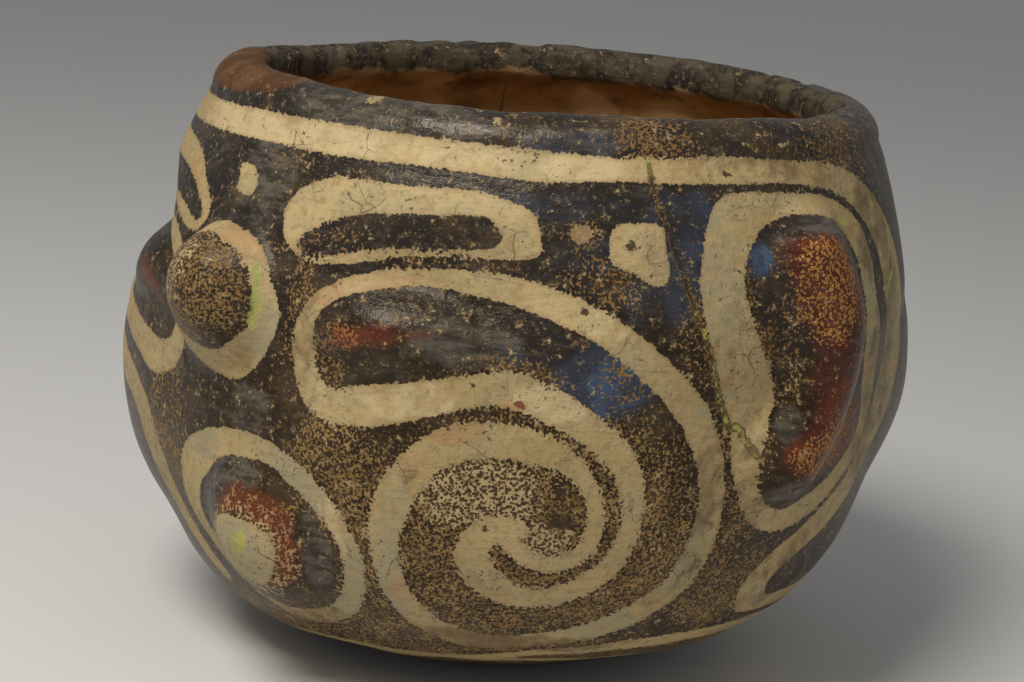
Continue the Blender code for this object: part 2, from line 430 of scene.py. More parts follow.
def ripple_at(position):
    """How far the burnished skin dips at a point: broad dents with a few smaller ones."""
    broad = noise.noise(position * BROAD_DENTS)
    small = noise.noise(position * SMALL_DENTS + SMALL_DENTS_SHIFT)
    on_lip = noise.noise(position * LIP_DENTS) * (position.z > BRIM_HEIGHT - DENTED_LIP)
    depth = 0.5 + BROAD_SHARE * broad + SMALL_SHARE * small + LIP_SHARE * on_lip
    return min(1.0, max(0.0, depth))


def chip_at(position):
    """How much of the lip's crest has chipped away at a point, from nothing to one."""
    on_crest = smooth_step((position.z - BRIM_HEIGHT) / LIP_ROUND * 1.6 - 0.4)
    behind = smooth_step(position.y / BRIM_RADIUS * 2.0 + 0.5)
    at_this_side = FRONT_CHIPS + (1 - FRONT_CHIPS) * behind
    chipped = smooth_step(3.2 * noise.noise(position * CHIP_DENTS) - 0.25)
    return float(on_crest * at_this_side * chipped)


dip = np.array([ripple_at(Vector(position)) for position in plain])
dip *= RIPPLE * smooth_step(plain[:, 2] / FOOT_LIFT - 0.2)
dip += CHIP * np.array([chip_at(Vector(position)) for position in plain])
print("deepest dip:", round(1000 * float(dip.max()), 2), "mm")

# %% Lean and rim waves
LEAN = 0.0046
LEAN_START = 0.0690
RIM_WAVES = ((-126.0, -0.0021), (-25.0, -0.0013), (75.0, -0.0008), (165.0, 0.0006))
RIM_WAVE_HALF_ANGLE = 42.0

wave = np.zeros(count)
for centre, rise in RIM_WAVES:
    off = (azimuth - centre + 180.0) % 360.0 - 180.0
    wave += np.where(
        np.abs(off) < RIM_WAVE_HALF_ANGLE,
        rise * (1 + np.cos(np.pi * off / RIM_WAVE_HALF_ANGLE)) / 2,
        0.0,
    )
shaped = plain + added + bent - facing * dip[:, None]
shaped[:, 0] += LEAN * smooth_step((plain[:, 2] - LEAN_START) / (HEIGHT - LEAN_START))
shaped[:, 2] += wave * smooth_step((plain[:, 2] - BELLY_HEIGHT) / (HEIGHT - BELLY_HEIGHT))
skin.vertices.foreach_set("co", shaped.ravel())
skin.update()
skin.shade_smooth()
print("modelled skin:", [round(1000 * float(size), 1) for size in np.ptp(shaped, axis=0)], "mm")

# %% [markdown]
# ## Brush strokes
# The painter laid cream slip in long strokes with soft edges. Here a stroke is a few places that
# its middle passes through, each with half its width, joined by a smooth curve. Where the width
# changes unevenly, the painted area is given by its edge instead. Both give, for every point of
# the skin, how deep inside the paint it lies in millimetres. That is kept as an attribute, and
# the material can then put a crisp or ragged edge wherever it likes. A point lies inside an edge
# when the edge has an odd number of pieces to one side of it at its own height.

# %% Strokes and areas
OUT = -6.0
STEPS = 6
TINY = 1e-9


def curve(places, closed):
    """A smooth curve through the places, as rows of azimuth, length up the wall and half width."""
    knots = np.array([(*place, 0.0)[:3] for place in places], float)
    knots[:, 1] = length_at(knots[:, 1])
    if closed:
        knots = np.vstack((knots[-1:], knots, knots[:2]))
    else:
        knots = np.vstack((2 * knots[0] - knots[1], knots, 2 * knots[-1] - knots[-2]))
    rows = []
    for a, b, c, d in zip(knots, knots[1:], knots[2:], knots[3:]):
        for t in np.arange(STEPS) / STEPS:
            rows.append(
                b + 0.5 * t * (c - a + t * (2 * a - 5 * b + 4 * c - d + t * (3 * (b - c) + d - a)))
            )
    rows.append(knots[1] if closed else knots[-2])
    return np.array(rows)


def near_curve(rows, reach):
    """The skin's outer points within reach of a curve, with their azimuths unwrapped beside it."""
    middle = (rows[:, 0].min() + rows[:, 0].max()) / 2
    around = (azimuth - middle + 180.0) % 360.0 - 180.0 + middle
    margin = reach / np.maximum(per_degree, 0.5)
    near = is_outer & (around > rows[:, 0].min() - margin) & (around < rows[:, 0].max() + margin)
    near &= (up_the_wall > rows[:, 1].min() - reach) & (up_the_wall < rows[:, 1].max() + reach)
    which = np.nonzero(near)[0]
    return which, around[which]


print("paint reaches", -OUT, "mm past an edge, in", STEPS, "steps between two places")


# %% Distances from a curve
def beside(start, end, which, around):
    """Points seen from one short piece of a curve: share along it, gap, and which are left of it."""
    scale, length = per_degree[which], up_the_wall[which]
    run, rise = (end[0] - start[0]) * scale, end[1] - start[1]
    x, y = (around - start[0]) * scale, length - start[1]
    share = np.clip((x * run + y * rise) / (run * run + rise * rise + TINY), 0.0, 1.0)
    same_height = (start[1] > length) != (end[1] > length)
    on_left = same_height & ((x * rise - y * run) * rise < 0)
    return share, np.hypot(x - share * run, y - share * rise), on_left


def stroke(places, closed=False):
    """How deep inside a stroke every point of the skin lies, in millimetres."""
    rows = curve(places, closed)
    which, around = near_curve(rows, rows[:, 2].max() - OUT)
    best = np.full(len(which), OUT)
    for start, end in zip(rows, rows[1:]):
        share, gap, _ = beside(start, end, which, around)
        best = np.maximum(best, start[2] + share * (end[2] - start[2]) - gap)
    deep = np.full(count, OUT)
    deep[which] = best
    return deep


def area(places):
    """How deep inside a closed edge every point of the skin lies, in millimetres."""
    rows = curve(places, True)
    which, around = near_curve(rows, -OUT)
    nearest = np.full(len(which), -OUT)
    inside = np.zeros(len(which), bool)
    for start, end in zip(rows, rows[1:]):
        _, gap, on_left = beside(start, end, which, around)
        nearest = np.minimum(nearest, gap)
        inside ^= on_left
    deep = np.full(count, OUT)
    deep[which] = np.where(inside, nearest, -nearest)
    return deep


def ring(edge, hollow):
    """How deep inside an edge, but outside the hollow within it."""
    return np.minimum(area(edge), -area(hollow))


def mirrored(places):
    """The same places on the other side of the face."""
    return [(2 * FACE_AZIMUTH - place[0], *place[1:]) for place in places]


dot = stroke([(0, 100, 3), (0.2, 100, 3)])
print("a dot 6 mm wide covers", int((dot > 0).sum()), "points")

# %% [markdown]
# ## The cream bands
# One band runs under the rim, turns down behind each ear and curls in below it. An eye loop opens
# into two arms that wind round each other as a double spiral. The ear, the mouth and the nose
# each have a ring of their own, and small patches sit between them. Most of the far side can't
# be seen, so it repeats the same motifs across the face's middle line.

# %% Rim band and side bands
cream = np.full(count, OUT)


def paint(what, *layers):
    """Lay cream layers over what is there, and say how many points are cream by now."""
    for layer in layers:
        np.maximum(cream, layer, out=cream)
    print("after the", what, int((cream > 0).sum()), "points are cream")


RIM_BAND = [
    (-137, 166.5, 4.4), (-120, 166.5, 4.2), (-100, 166.0, 4.2), (-85, 165.8, 4.2), (-70, 166.3, 4.2),
    (-60, 166.9, 4.3), (-50, 167.8, 4.4), (-40, 168.5, 4.6), (-30, 168.9, 4.6), (-20, 169.2, 4.2),
    (-10, 168.8, 4.3), (0, 167.9, 4.5), (10, 168.1, 3.5), (20, 168.2, 3.8), (30, 168.6, 3.9),
    (40, 168.0, 3.5), (46, 167.3, 3.8),
]
SIDE_BAND = [
    (46, 167.3, 3.8), (50, 166.6, 4.2), (55.3, 163.8, 4.9), (59.7, 159.3, 5.8), (63.6, 153, 6.7),
    (66.6, 145, 7.8), (68.4, 136, 9.2), (70, 125, 9.6), (71.6, 114, 9.6), (71.6, 105, 9.2),
    (70.2, 96, 8.2), (68.4, 87.5, 6.8), (66, 79, 6.2), (62.3, 70.5, 5.9), (57.5, 63.8, 5.9),
    (52.5, 58.3, 5.3), (48, 53.0, 5.3), (45.3, 46.4, 6.4), (46, 39.8, 6.0), (50, 35.6, 4.0),
    (56, 34.6, 4.0), (66, 34.0, 4.2), (82, 34.5, 4.6), (100, 35.5, 4.8), (118, 35.5, 4.8),
    (134, 34, 4.6),
]
paint("rim and side bands", stroke(RIM_BAND), stroke(SIDE_BAND), stroke(mirrored(SIDE_BAND)))

# %% Eye loop and double spiral
OUTER_ARM = [
    (-24.3, 96.2, 5.0), (-27.3, 99.5, 4.4), (-29, 106.5, 3.8), (-29.6, 116, 3.8), (-28.4, 124, 3.1),
    (-25.8, 129.2, 2.9), (-22.3, 132.6, 2.8), (-18.8, 134.9, 2.8), (-15, 136.2, 2.4),
    (-10, 136.7, 3.1), (-5, 136, 3.8), (0, 134.4, 4.1), (5, 131.2, 4.4), (10, 127, 4.2),
    (15, 120.5, 4.4), (19.7, 113.2, 4.4), (22.7, 107.5, 4.6), (25.9, 100, 4.6), (28.6, 90, 4.5),
    (30, 80, 4.2), (30.4, 70, 4.5), (29.9, 60, 4.8), (28.1, 50, 5.0), (24, 41.5, 5.0),
    (19.5, 35.9, 4.6), (15, 32.2, 4.3), (10, 29.8, 4.1), (5, 27.9, 4.3), (0, 26.7, 4.9),
    (-5, 28.1, 4.9), (-9.8, 32.4, 4.9), (-13.5, 39.5, 4.4), (-15.5, 50, 4.4), (-15.8, 60, 4.9),
    (-14.8, 70, 5.6), (-12.6, 80, 5.4), (-9, 88.3, 5.5), (-5, 92, 5.5), (0, 93, 5.4),
    (4.8, 91.4, 4.8), (8.6, 88, 3.7), (11.1, 83, 2.9), (12.9, 77, 2.6), (13.5, 70, 2.9),
    (13, 64, 3.0), (11.2, 59.6, 3.1), (8, 57.2, 3.2), (4.6, 58.8, 3.2), (2.2, 63, 3.2),
]
INNER_ARM = [
    (-24.3, 96.2, 5.0), (-20, 98, 6.0), (-15, 100.3, 5.6), (-10, 103.5, 5.2), (-5, 106.5, 4.6),
    (0, 107.7, 5.2), (5.6, 103.8, 5.0), (10.4, 98.3, 4.7), (13.6, 93.6, 4.4), (16.4, 87.2, 4.3),
    (18, 79.5, 4.0), (18.6, 71, 3.4), (18.1, 63, 3.4), (16.2, 55.8, 3.8), (12.5, 49.3, 3.9),
    (8, 45.9, 3.9), (3.4, 46, 4.5), (-0.6, 50, 5.2), (-3.1, 56.5, 5.2), (-2.7, 62.6, 4.7),
    (-0.4, 66.9, 4.6), (2.6, 67.2, 4.0),
]
paint("double spiral", stroke(OUTER_ARM), stroke(INNER_ARM))

# %% The other eye's loop and arm
LEFT_LOOP = [
    (-92, 136.5, 3.0), (-84, 138, 2.6), (-75, 137, 2.2), (-68, 135, 2.2), (-64.4, 133.2, 2.4),
    (-61, 129.4, 2.9), (-58, 124, 3.2), (-56, 116, 3.8), (-55, 108, 4.2), (-56, 101, 4.3),
    (-58.6, 95.8, 4.9), (-63, 94.2, 5.4), (-68, 96.6, 4.8), (-73, 98.8, 4.6), (-79, 101.5, 4.6),
    (-86, 105, 4.8), (-93, 106, 5.0), (-101, 100, 4.8), (-107.5, 89, 4.5), (-109.5, 76, 4.2),
    (-108, 62, 4.4), (-102, 50.5, 4.8), (-93.5, 47, 5.0), (-87, 52.5, 5.0), (-85.5, 62, 4.8),
    (-89.5, 69.5, 4.6), (-95.5, 69.5, 4.0),
]
LEFT_ARM = [
    (-53.2, 30.5, 3.4), (-55.2, 34.3, 4.0), (-57.6, 39, 4.6), (-60, 44.5, 5.2), (-61.9, 51, 5.8),
    (-63.4, 57, 6.2), (-64.9, 65, 6.5), (-66.9, 74, 6.3), (-68.6, 77.6, 6.0), (-71.6, 81, 5.8),
    (-77, 84.8, 5.6), (-84, 88.5, 5.4), (-92, 88.5, 5.0), (-99, 81, 4.0), (-100.5, 70, 3.2),
    (-97, 60, 3.2),
]
paint("left eye's loop", stroke(LEFT_LOOP), stroke(LEFT_ARM))

# %% Brow loops and small patches
BROW_EDGE = [
    (-38, 148), (-36.6, 154), (-33, 158), (-29, 159.7), (-20, 160), (-10, 160.5), (-5, 159),
    (-0.8, 156), (0.6, 151.5), (1.3, 146.8), (0.4, 144.2), (-4, 143.1), (-10, 142.6), (-15, 142),
    (-20, 140), (-25, 137.1), (-29.5, 135.3), (-33.5, 136.2), (-36.8, 141),
]
BROW_HOLLOW = [
    (-34.3, 139.6), (-32.6, 143.5), (-29.8, 147.2), (-26, 150), (-20, 152), (-14, 153),
    (-8.2, 153.8), (-5.6, 152), (-4.4, 149.3), (-5.4, 146.3), (-9, 145), (-15, 144.1),
    (-20, 142.8), (-25, 140.3), (-29.5, 137.5), (-32.6, 137.2),
]
LEFT_BROW_EDGE = [
    (-75, 158.3), (-68, 157.2), (-63, 154.6), (-58.6, 149.6), (-55.2, 144.4), (-54.1, 140),
    (-55.4, 135.6), (-58.4, 134.4), (-63, 137), (-68, 140.3), (-76, 142.5), (-88, 143), (-93, 146.5),
    (-93, 154.5), (-86, 158.6),
]
LEFT_BROW_HOLLOW = [
    (-75, 151), (-68, 150.2), (-63, 147.9), (-59, 144.5), (-56.3, 140.6), (-56.2, 137.9),
    (-58.6, 138.2), (-63, 141), (-68, 142.8), (-76, 144.5), (-84, 146), (-88, 148.5), (-84, 151.8),
]
PATCHES = [
    [(-51, 156.6), (-49, 157.2), (-46.9, 156.2), (-45.4, 152.6), (-45.9, 149), (-48, 148.7),
     (-49.9, 149.6), (-50.2, 153)],
    [(5.1, 152.8), (6.8, 153.6), (8.0, 152), (7.6, 149.2), (5.9, 148.4), (4.8, 150.2)],
    [(10.6, 151.6), (12, 154), (15.5, 154.5), (18.2, 153.4), (18.6, 148), (19.5, 142),
     (18.5, 138.2), (16.6, 138.4), (14.2, 140.8), (11.2, 143.4), (10.4, 147)],
]
paint(
    "brow loops", ring(BROW_EDGE, BROW_HOLLOW), ring(LEFT_BROW_EDGE, LEFT_BROW_HOLLOW),
    *(area(patch) for patch in PATCHES),
)

# %% Rings round the nose, the mouth and the ears
NOSE_RING_EDGE = [
    (-48, 140), (-44, 139.3), (-40.5, 137.5), (-38, 133.5), (-36.2, 128), (-34.6, 122),
    (-34.2, 116), (-35.3, 109), (-37.5, 102), (-40, 97.8), (-43, 97.2), (-47, 99), (-51, 103),
    (-55, 110), (-57, 118), (-56.5, 127), (-53.5, 135),
]
NOSE_DOME = [
    (-47, 134.5), (-43.5, 133.4), (-40.5, 131), (-38.6, 127), (-37.3, 121), (-37.4, 115.5),
    (-39, 110.5), (-41.3, 106), (-43.5, 104), (-47, 105.5), (-50.5, 109), (-53, 115), (-53.5, 122),
    (-52, 129.5),
]
MOUTH_RING_EDGE = [
    (-38, 83), (-33, 81.5), (-28.5, 77.3), (-24.5, 71), (-21.5, 62.5), (-19.5, 53.5), (-19.3, 44),
    (-20.8, 35.5), (-24, 29), (-28.5, 24.5), (-34, 22.6), (-39.5, 24), (-44.5, 29), (-49, 36),
    (-53.5, 44.5), (-56, 54), (-55, 63), (-53.5, 70.5), (-49.5, 77), (-44, 81.5),
]
MOUTH_HOLLOW = [
    (-38, 75.3), (-34, 74.8), (-30.5, 70.8), (-26.8, 65), (-24, 58.5), (-22.7, 51), (-23, 43),
    (-24.8, 36.5), (-28, 31.3), (-33, 28.8), (-38, 28.5), (-42.5, 31.5), (-46.5, 37.5), (-50, 45),
    (-51.2, 53), (-49.5, 61.5), (-46.5, 66.8), (-44.3, 71.5), (-41.5, 74.2),
]
MOUTH_TIP = [
    (-41.5, 59), (-38, 60.5), (-34.5, 59.2), (-32.3, 56), (-31.8, 50.5), (-33, 45), (-35.5, 41),
    (-39, 42.5), (-42, 48), (-42.8, 54),
]
EAR_RING_EDGE = [
    (24.2, 147), (24, 138), (25.3, 125), (28.2, 111), (31, 97), (33.2, 82), (36.8, 70), (41, 64.2),
    (46.5, 63.2), (52, 66.5), (57.5, 73), (62.5, 81.5), (65, 93), (65, 105), (63.2, 119), (61, 131),
    (60.2, 143), (57.5, 152.5), (52.5, 158.7), (46, 161.7), (38, 162.4), (30.5, 162.8),
    (26.8, 160.5), (25, 154),
]
EAR_HOLLOW = [
    (31.2, 142), (31.8, 133), (33.8, 123), (36.8, 113), (37.8, 104), (36.3, 93), (36, 85),
    (37.5, 77.8), (40.8, 72.6), (45, 70.8), (50.5, 73.8), (56, 79.5), (60.3, 87), (61, 95),
    (59.5, 107), (57.8, 121), (56.5, 134), (54.8, 144.5), (51.5, 151), (46.5, 154.3), (40, 156),
    (35.5, 154.5), (33, 150),
]
paint(
    "rings", ring(NOSE_RING_EDGE, NOSE_DOME), ring(MOUTH_RING_EDGE, MOUTH_HOLLOW), area(MOUTH_TIP),
    ring(EAR_RING_EDGE, EAR_HOLLOW), ring(mirrored(EAR_RING_EDGE), mirrored(EAR_HOLLOW)),
)

# %% Foot band
FOOT_BAND = [
    (-60, 14, 3.4), (-40, 12, 3.2), (-20, 12.5, 3.2), (0, 16.8, 3.5), (10, 22, 3.8), (20, 24.6, 3.8),
    (30, 26.1, 3.8), (40, 27, 3.6), (50, 26.8, 3.6), (62, 25.5, 3.6), (80, 23, 3.6), (110, 20, 3.6),
    (140, 18, 3.6), (170, 17, 3.6), (200, 17, 3.6), (230, 17, 3.6), (260, 16.5, 3.6), (280, 15.5, 3.6),
]
paint("foot band", stroke(FOOT_BAND, closed=True))

# %% [markdown]
# ## Softer marks
# Other marks have no crisp edge: how much of the dark ground has flaked, the red on the bosses,
# the blue-grey slip, smoky sheen and stains. Each is a set of soft spots on the wall. A spot is
# full in its middle and fades out towards its edge, and where spots meet the strongest counts.

# %% Soft spots
PLATEAU = 1.7
DOT_LENGTH = 0.2


def spots(*places, on=None):
    """The strongest of soft spots: azimuth, height, half width and half height in mm, strength."""
    total = np.zeros(count)
    for centre, height, half_width, half_height, strength in places:
        x = ((azimuth - centre + 180.0) % 360.0 - 180.0) * per_degree / half_width
        y = (up_the_wall - length_at(height)) / half_height
        total = np.maximum(total, strength * np.clip(PLATEAU * (1 - x * x - y * y), 0.0, 1.0))
    return total * (is_outer if on is None else on)


def strokes(*lists):
    """Several strokes as one layer."""
    return np.maximum.reduce([stroke(places) for places in lists])


def dots(*places):
    """Small round marks: azimuth, height, and radius in mm."""
    return strokes(*([place, (place[0] + DOT_LENGTH, *place[1:])] for place in places))


print("a full spot reaches", round(math.sqrt(1 - 1 / PLATEAU), 2), "of its half width")

# %% [markdown]
# ## Flaked ground
# Most of the dark slip has flaked into thousands of tan flecks. They lie close and even between
# the arms of the spiral, on the cheek and on the lower wall, and thinly near the rim. A list of
# spots says how much has gone at each place, and smooth patches that kept their slip are taken
# away again. In the eye of the spiral and on the nose and mouth nearly all of it has gone, so
# the ground is light there, with dark dots.

# %% How much has flaked
FLAKED = {
    "spiral": (6, 64, 60, 48, 1.02),
    "cheek": (-23, 74, 21, 28, 0.98),
    "between mouth and spiral": (-20, 40, 11, 28, 0.95),
    "behind the spiral": (33, 90, 12, 60, 0.93),
    "under the ear": (38, 46, 22, 24, 0.88),
    "round the foot": (0, 18, 150, 26, 0.88),
    "left cheek": (-58, 76, 15, 26, 0.80),
    "nose": (-46, 120, 23, 20, 1.00),
    "beside the nose": (-31.5, 122, 5, 26, 0.62),
    "brow hollow": (-29, 143, 12, 8, 0.56),
    "top of the eye loop": (-13, 140, 34, 4, 0.50),
    "forehead": (-36, 161, 20, 5, 0.40),
    "right of the eye": (9, 137, 16, 11, 0.62),
    "round the small patch": (6.5, 151, 7, 6, 0.62),
    "under the eye": (-1, 111, 20, 7, 0.74),
    "front of the eye": (-26, 106, 8, 15, 0.86),
    "end of the eye": (14, 112, 9, 9, 0.66),
    "over the spiral": (24, 122, 7, 20, 0.62),
    "chin": (-28, 50, 8, 15, 0.36),
    "red by the mouth": (-32, 58, 7, 9, 0.66),
    "front of the eye's red": (-23, 117.5, 7, 5, 1.0),
    # Fewer flecks keep the ear hollow dark: partly slip that stayed, partly painted shade cast by the
    # ear ridge.
    "ear hollow": (38.5, 112, 7, 14, 0.50),
    "front of the ear": (36, 134, 7, 12, 0.30),
    "top of the ear": (42.5, 137, 14, 21, 0.82),
    "edge of the ear": (54, 114, 10, 42, 0.86),
    "lobe of the ear": (47, 90, 20, 11, 0.98),
    "lip": (17, 175, 15, 10, 0.92),
    "right of the lip": (57, 172, 28, 16, 0.66),
    "left of the lip": (-14, 178, 60, 6, 0.15),
    "crest": (0, 183, 300, 3, 0.22),
    "back": (150, 70, 190, 60, 0.60),
}
LEAST_FLAKED = 0.02
KEPT = [
    (43, 108, 5, 15, 0.75), (-41.5, 105, 10, 6, 0.9), (-35, 92, 14, 13, 0.85),
    (45, 153, 17, 5, 0.9), (-42, 69, 12, 7, 0.9), (39.5, 98, 5, 7, 0.9), (41, 79, 8, 6, 0.8),
    (34.5, 133, 4, 9, 0.5), (-44, 144, 14, 9, 0.6), (12.2, 79, 2.2, 10, 0.7),
    (8.5, 70.5, 4.2, 2.0, 1.3), (8, 80, 2.0, 2.4, 1.3), (-27.5, 52, 4.5, 18, 0.75),
    (12, 108, 8, 7, 0.4), (37.5, 84, 3.5, 12, 0.7), (-31, 68.5, 7, 4.5, 0.6), (33, 86, 4, 4, 0.8),
    (33, 70, 3, 4, 0.7),
]
LIGHT = [
    (-3, 77, 21, 14, 1.0), (6, 64, 12, 9, 0.85), (-48.5, 124, 9, 12, 0.66), (-36.5, 51, 18, 19, 0.85),
]
DARK_IN_LIGHT = [(8.5, 70.5, 5.0, 2.6, 2.0), (8.0, 80.0, 2.8, 3.0, 2.0)]
flaked = np.maximum(spots(*FLAKED.values()), LEAST_FLAKED) - spots(*KEPT)
light_ground = spots(*LIGHT) - spots(*DARK_IN_LIGHT)
print("flaked ground:", round(float(flaked[is_outer].mean()), 2), "on average")

# %% [markdown]
# ## Red and blue
# Red slip covers the ear ridge and touches the mouth and the eye, where it is fresher. The
# blue-grey is thin and streaky; on the lip and just under the rim band it is a painted sheen, a
# reflection of the light above. The far ear repeats the near one, a little plainer.

# %% Red and blue areas
RED_EAR = [
    (36, 148.5), (40, 150.5), (44.5, 148), (48, 141), (51, 131), (54, 118), (57, 106), (60.5, 96),
    (61, 89.5), (58, 83), (52.5, 79.5), (46, 80), (41.5, 83), (38.2, 88.5), (39.5, 94.5), (41.8, 101),
    (41.8, 112), (41.3, 122), (39, 131), (36.7, 140),
]
RED_MOUTH = [
    (-42, 62, 2.4), (-39, 64.5, 3.4), (-35.5, 64.5, 3.8), (-32.3, 61.5, 3.8), (-30.6, 56, 3.4),
    (-30.3, 50, 3.0), (-31.6, 44.5, 2.4), (-34, 41, 1.8),
]
RED_EYE = [(-23.5, 117, 3.0), (-20, 118.6, 3.2), (-16, 120, 2.2), (-12, 121.5, 1.2)]
RED_LEFT_EYE = [(-63.5, 112, 2.5), (-66, 115, 3.0), (-69, 119, 3.0)]
RED_MARK = (1.2, 103.6, 1.8)
red = np.maximum.reduce([
    area(RED_EAR), area(mirrored(RED_EAR)), strokes(RED_MOUTH, RED_EYE, RED_LEFT_EYE), dots(RED_MARK),
])
fresh_red = spots((-36, 58, 18, 16, 0.9), (-22, 118, 9, 8, 1.0), (-65, 115, 10, 8, 0.6))
# Blue-grey slip; the spots on the lip at (5, 174) and under the rim band at (4, 158) are a painted
# sheen, a reflection of the light above on the dark slip.
blue = spots(
    (12, 112, 18, 14, 1.0), (21, 154, 17, 14, 0.78), (33.5, 145, 5, 7, 1.0), (21, 140, 9, 16, 0.70),
    (17, 133, 12, 9, 0.6), (2, 121, 14, 8, 0.65), (5, 174, 18, 5, 0.65), (14, 149, 3, 3, 0.6),
    (4, 158, 30, 6, 0.60), (8, 146, 14, 8, 0.50),
)
print("red covers", int((red > 0).sum()), "points and blue", int((blue > 0.5).sum()))

# %% [markdown]
# ## The mended crack, stains and small marks
# An old crack runs down from the rim to the ear ring. A brown fill closes a gap in the lip on the
# left. There are yellow-green streaks, small dark marks, a red-brown one and chips, which are kept
# as they are, because they are part of the jar's history. A fine crack also shows on the inner
# wall at the back, so its spot is laid on the points that aren't outside.

# %% Mended crack and stains
MENDED_CRACK = [
    (16, 170, 0.1), (17, 162, 0.2), (19, 152, 0.3), (21, 143, 0.3), (23, 133, 0.3), (25.2, 124, 0.3),
    (27.2, 114, 0.3), (29, 105, 0.3), (30.6, 99.5, 0.4), (33, 97, 0.4), (35.3, 90, 0.4),
]
INNER_CRACK = (-171.75, 150, 0.9, 26, 1.0)
STAINS = [
    [(-38.4, 131, 0.5), (-37.5, 126, 0.8), (-37.0, 120, 1.0), (-37.3, 114, 0.8)],
    [(50.3, 165, 0.4), (51.2, 168, 0.6), (52.5, 170.5, 0.4)],
    [(52.3, 153.6, 1.3), (53.6, 153.2, 1.2)],
    [(58.6, 126.4, 0.9), (60, 127.6, 0.9)],
    [(64, 131.5, 0.5), (67, 133.5, 0.9), (69, 137, 0.7)],
    [(15.6, 171.5, 0.7), (16.6, 167.5, 0.9)],
]
FAINT_STAIN = [(-37.8, 51.5, 3.0), (-37.2, 54.5, 4.0)]
crack = stroke(MENDED_CRACK)
inner_crack = spots(INNER_CRACK, on=~is_outer)
stain = np.maximum(strokes(*STAINS), 0.5 * stroke(FAINT_STAIN) - 0.6)
print("mended crack:", int((crack > -0.5).sum()), "points")

# %% Small marks, the brown fill and chips
marks = dots(
    (1.2, 103.6, 1.3), (-5.5, 108, 0.8), (-1.5, 67, 0.9), (1, 48.5, 0.8), (-13.5, 62, 0.7),
    (31.5, 53, 0.7), (26.8, 168.4, 0.6), (28.4, 168.0, 0.6), (29.6, 167.4, 0.5), (20, 62, 1.0),
    (13.2, 149.2, 1.1), (14.4, 147.6, 0.9), (15.0, 150.6, 0.6), (8, 130.5, 0.9), (-25.5, 74, 0.9),
    (-24.2, 70.5, 0.8), (31.5, 85.5, 0.6), (-9.5, 168.5, 0.6),
)
brown_fill = spots((-72, 182.5, 52, 10.5, 1.0), on=1.0)
CHIPS = [
    [(-30.8, 181.4, 1.5), (-29.6, 181.2, 1.4)], [(-8.4, 179.2, 0.8), (-7.4, 179.2, 1.1)],
    [(-47, 180.4, 0.7), (-52, 180.6, 0.6)], [(39.8, 175.2, 0.6), (41, 175.4, 0.7)],
]
chips = strokes(*CHIPS)
print("marks and chips:", int((marks > 0).sum() + (chips > 0).sum()), "points")

# %% [markdown]
# ## How the slips have aged, and where light and shade are painted
# The cream isn't one colour. It is pale and crackled near the front of the rim, greenish grey
# round the mouth and on the right, orange where iron has stained it, and darker and browner at the
# ear, under the nose, down the right side and towards the foot. Some of the pale cream is painted
# light: on the rim band and beside the mouth it stands for a highlight and for light that falls
# there. The dark slip is smoky where the fire reached it, and its smoky patches carry a painted sheen.

# %% Tones of the cream and smoke on the dark
# Paler cream, partly the cream's own tone and partly painted light: the spots on the rim band and the
# one beside the mouth brighten the cream where light falls, as a painted highlight.
pale = spots(
    (-25, 169, 50, 8, 0.70), (-56, 167, 34, 9, 1.0), (-24, 60, 6, 22, 0.7), (6, 168, 15, 6, 1.0),
    (5, 105, 14, 8, 1.0), (-14, 102, 20, 8, 0.75), (-12, 158, 36, 5, 0.40), (12, 128, 11, 6, 0.8),
    (-25, 98, 8, 8, 0.6),
)
chill = spots(
    (-29, 72, 14, 20, 0.9), (-21, 40, 9, 24, 0.9), (-38, 50, 11, 13, 0.9), (-14, 55, 8, 30, 0.7),
    (14, 38, 26, 12, 0.7), (-35, 108, 6, 16, 0.9), (60, 140, 12, 32, 0.7), (69, 100, 12, 44, 0.9),
    (-48, 76, 14, 8, 0.8), (27, 60, 8, 22, 0.7), (-20, 32, 14, 12, 0.8), (27, 128, 10, 40, 0.65),
)
warm = spots(
    (-8, 95, 12, 5, 0.9), (1.2, 103.6, 5.5, 3.6, 1.0), (28, 116, 7, 10, 0.6),
    (-40, 136, 16, 6, 0.8), (-20, 133, 16, 5, 0.7), (-13, 44, 6, 8, 0.7), (2, 27, 22, 5, 0.6),
    (-12, 84, 6, 6, 0.7), (22, 106, 7, 8, 0.5), (-60, 155, 20, 12, 0.5), (-27, 128, 8, 6, 0.7),
    (6.5, 151, 5, 5, 0.45), (32, 168, 46, 6, 0.45),
)
# Darker, browner cream at the ear, under the nose, down the right side band and towards the foot.
dirt = spots(
    (-29.5, 116, 5, 22, 0.55), (62, 150, 16, 22, 0.7), (-40, 101, 12, 7, 0.4), (66, 105, 16, 46, 0.6),
    (-14, 84, 12, 10, 0.3), (26, 50, 12, 20, 0.40), (29, 84, 7, 24, 0.65), (29, 128, 9, 20, 0.3),
    (-35, 27, 30, 10, 0.7), (0, 27, 46, 8, 0.9), (45, 45, 18, 18, 0.45), (36, 78, 12, 24, 0.42),
    (40, 168, 36, 6, 0.45), (6.5, 151, 5, 5, 0.5), (50, 45, 14, 22, 0.40),
)
